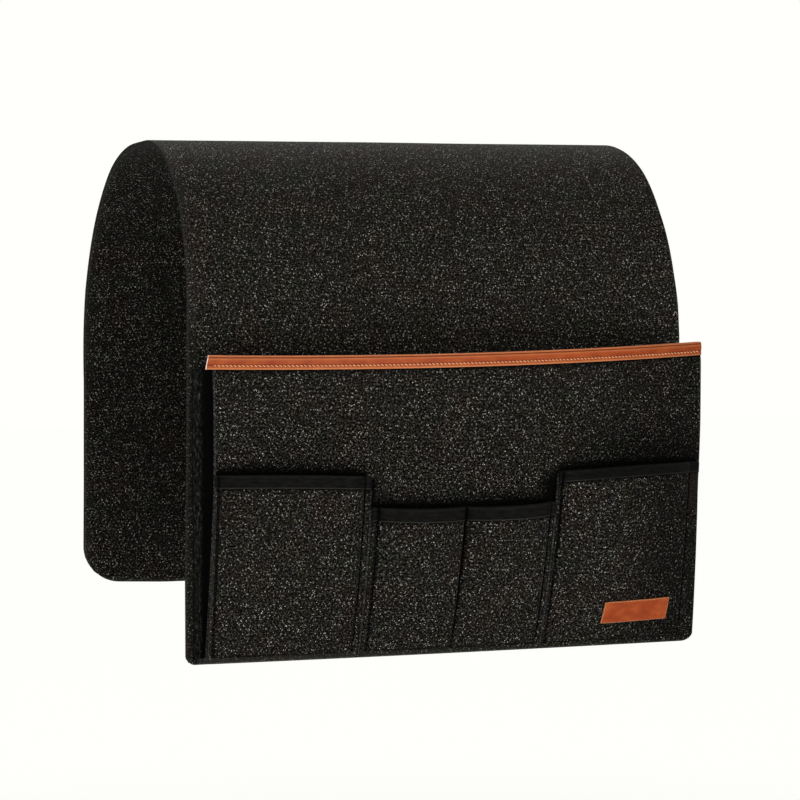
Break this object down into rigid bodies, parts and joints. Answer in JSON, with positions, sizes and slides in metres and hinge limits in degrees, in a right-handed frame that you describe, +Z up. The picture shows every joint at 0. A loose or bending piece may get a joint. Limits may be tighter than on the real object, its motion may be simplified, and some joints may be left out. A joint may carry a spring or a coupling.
{
  "type": "sofa armrest organizer",
  "caption": "Felt strip that hangs over a sofa arm, with a gusseted pocket on its front drop, patch pockets on that pocket's face and a leather-bound mouth.",
  "frame": {"origin": "middle of the flat underside of the top, which lies on the sofa arm", "axes": "+Z up, -Y towards the pocket, +X to the right seen from the pocket's side, along the sofa arm"},
  "size_m": [0.32, 0.4186, 0.321],
  "materials": {
    "felt": "charcoal wool-look felt with pale flecks, matt",
    "lining_cloth": "smooth black polyester",
    "tape": "fine black woven binding tape",
    "leather": "smooth tan-brown leather, satin"
  },
  "bodies": {
    "root": {"strip_top": "felt"},
    "front_drop": {"strip_front_drop": "felt", "strip_floor": "felt", "gusset_left": "lining_cloth", "gusset_right": "lining_cloth"},
    "pocket_front": {"front_panel": "felt", "mouth_binding": "leather", "patch_pocket_left": "felt", "patch_pocket_middle": "felt", "patch_pocket_right": "felt", "tape_left": "tape", "tape_middle": "tape", "tape_right": "tape", "label": "leather"},
    "back_flap": {"strip_back_flap": "felt"}
  },
  "joints": [
    {"name": "front_drop_swing", "type": "hinge", "parent": "root", "child": "front_drop", "pos_m": [0, -0.137, -0.108], "axis": [-1, 0, 0], "range_deg": [0, 90]},
    {"name": "back_flap_swing", "type": "hinge", "parent": "root", "child": "back_flap", "pos_m": [0, 0.203, -0.165], "axis": [1, 0, 0], "range_deg": [0, 90]},
    {"name": "pocket_collapse", "type": "slide", "parent": "front_drop", "child": "pocket_front", "axis": [0, 1, 0], "range_m": [0, 0.024], "deforming": ["gusset_left", "gusset_right", "strip_floor"]}
  ]
}
